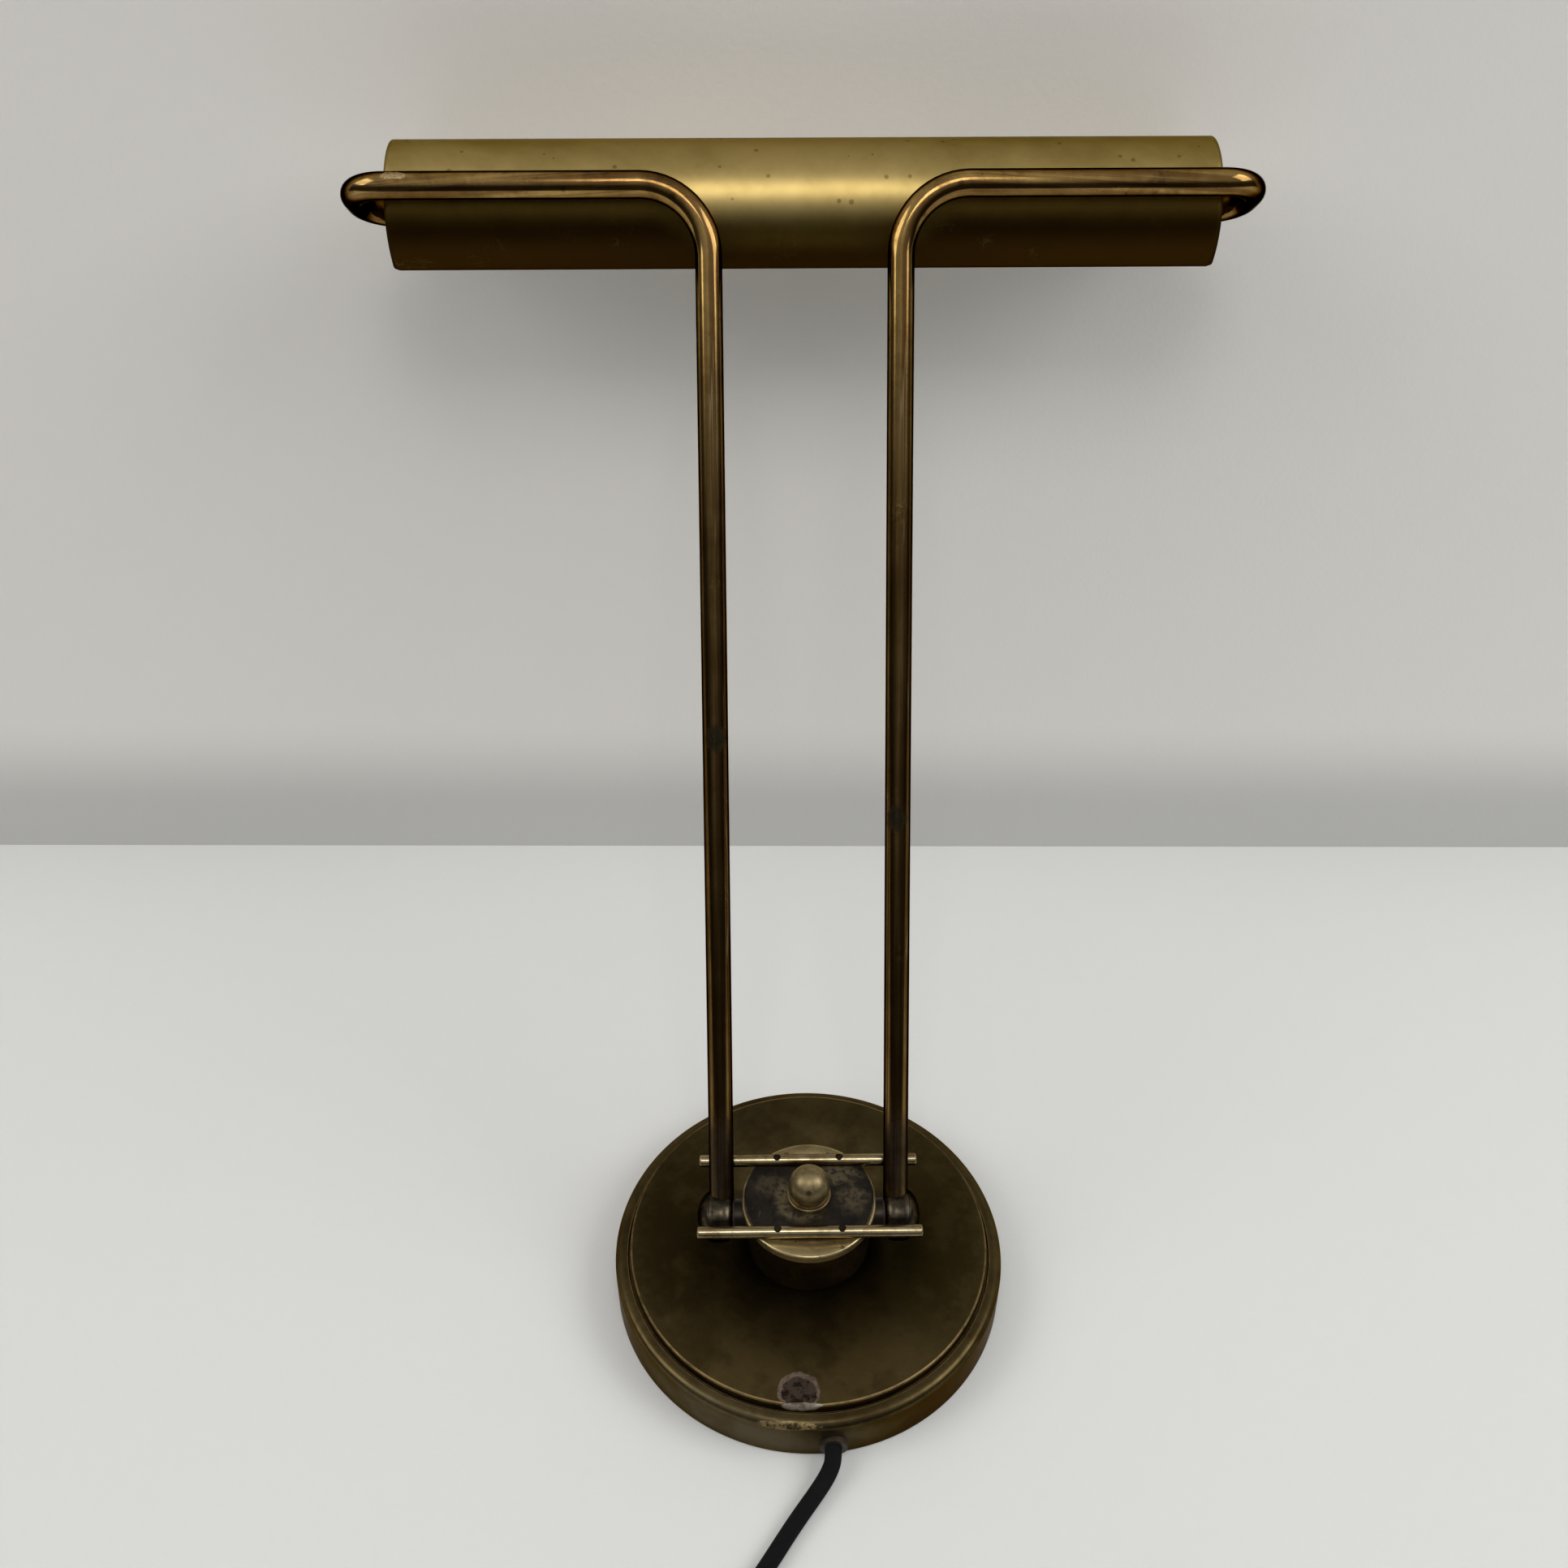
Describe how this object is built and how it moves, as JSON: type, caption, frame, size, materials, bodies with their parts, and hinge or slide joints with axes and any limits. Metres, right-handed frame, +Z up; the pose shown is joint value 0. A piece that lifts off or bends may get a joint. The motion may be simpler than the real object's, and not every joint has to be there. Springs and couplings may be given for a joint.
{
  "type": "desk lamp",
  "caption": "Brass desk lamp: weighted round base, swivelling drum, tilting looped tubes, turning trough shade, and a free cord with switch and plug.",
  "frame": {"origin": "centre of the base's underside, on the table", "axes": "+Z up, +Y the way the arm leans at rest, +X along the shade; the cord leaves towards -Y"},
  "size_m": [0.3434, 0.5005, 0.3927],
  "materials": {
    "aged_brass": "dark aged, satin",
    "satin_brass": "satin, spotted",
    "polished_brass": "polished, worn",
    "dark_bronze": "dark patina",
    "steel": "plain",
    "cast_iron": "rough",
    "felt": "felt",
    "fibre": "hard fibre",
    "wire_sleeve": "matt",
    "black_plastic": "moulded",
    "bulb_glass": "frosted",
    "textile_cord": "braided"
  },
  "bodies": {
    "base": {"base_cover": "aged_brass", "base_weight": "cast_iron", "base_felt": "felt", "threaded_tube": "steel", "base_nut": "steel", "swivel_washer": "fibre", "swivel_spring": "steel", "swivel_nut": "steel", "cord_grommet": "black_plastic", "cord_lead": "textile_cord", "cord_link": "textile_cord", "cord_coil": "textile_cord", "cord_tail": "textile_cord", "switch_lower_shell": "black_plastic", "switch_upper_shell": "black_plastic", "rocker_pin": "steel", "switch_screws": "steel", "plug_body": "black_plastic", "plug_pins": "steel"},
    "head": {"drum": "aged_brass", "drum_cap": "polished_brass", "head_plate": "dark_bronze", "rear_stop_rod": "polished_brass", "front_stop_rod": "polished_brass", "rod_screws": "steel", "ball_finial": "satin_brass", "finial_stud": "steel", "stud_nut": "steel", "left_pivot_pin": "steel", "right_pivot_pin": "steel", "left_pin_nut": "steel", "right_pin_nut": "steel", "left_spacing_collar": "dark_bronze", "right_spacing_collar": "dark_bronze", "left_fibre_washer": "fibre", "right_fibre_washer": "fibre", "left_cap_nut": "dark_bronze", "right_cap_nut": "dark_bronze"},
    "arm": {"left_knuckle": "dark_bronze", "right_knuckle": "dark_bronze", "left_arm_tube": "dark_bronze", "right_arm_tube": "dark_bronze", "left_lead_wire": "wire_sleeve", "right_lead_wire": "wire_sleeve", "left_set_collar": "dark_bronze", "right_set_collar": "dark_bronze", "left_lampholder": "black_plastic", "right_lampholder": "black_plastic", "left_bulb_cap": "steel", "right_bulb_cap": "steel", "left_bulb_glass": "bulb_glass", "right_bulb_glass": "bulb_glass"},
    "shade": {"shade_trough": "satin_brass", "left_end_plate": "satin_brass", "right_end_plate": "satin_brass", "left_end_bush": "dark_bronze", "right_end_bush": "dark_bronze"},
    "rocker": {"switch_rocker": "black_plastic"}
  },
  "joints": [
    {"name": "head_swivel", "type": "hinge", "parent": "base", "child": "head", "pos_m": [0, 0, 0], "axis": [0, 0, 1], "range_deg": [-170, 170]},
    {"name": "stem_tilt", "type": "hinge", "parent": "head", "child": "arm", "pos_m": [0, 0, 0.041], "axis": [1, 0, 0], "range_deg": [0, 60.8]},
    {"name": "shade_turn", "type": "hinge", "parent": "arm", "child": "shade", "pos_m": [0, 0.22799, 0.36637], "axis": [1, 0, 0], "range_deg": [-120, 120]},
    {"name": "switch_rocker_tilt", "type": "hinge", "parent": "base", "child": "rocker", "pos_m": [-0.05097, -0.17444, 0.0096], "axis": [-0.8368, 0.5476, 0], "range_deg": [0, 14]}
  ]
}
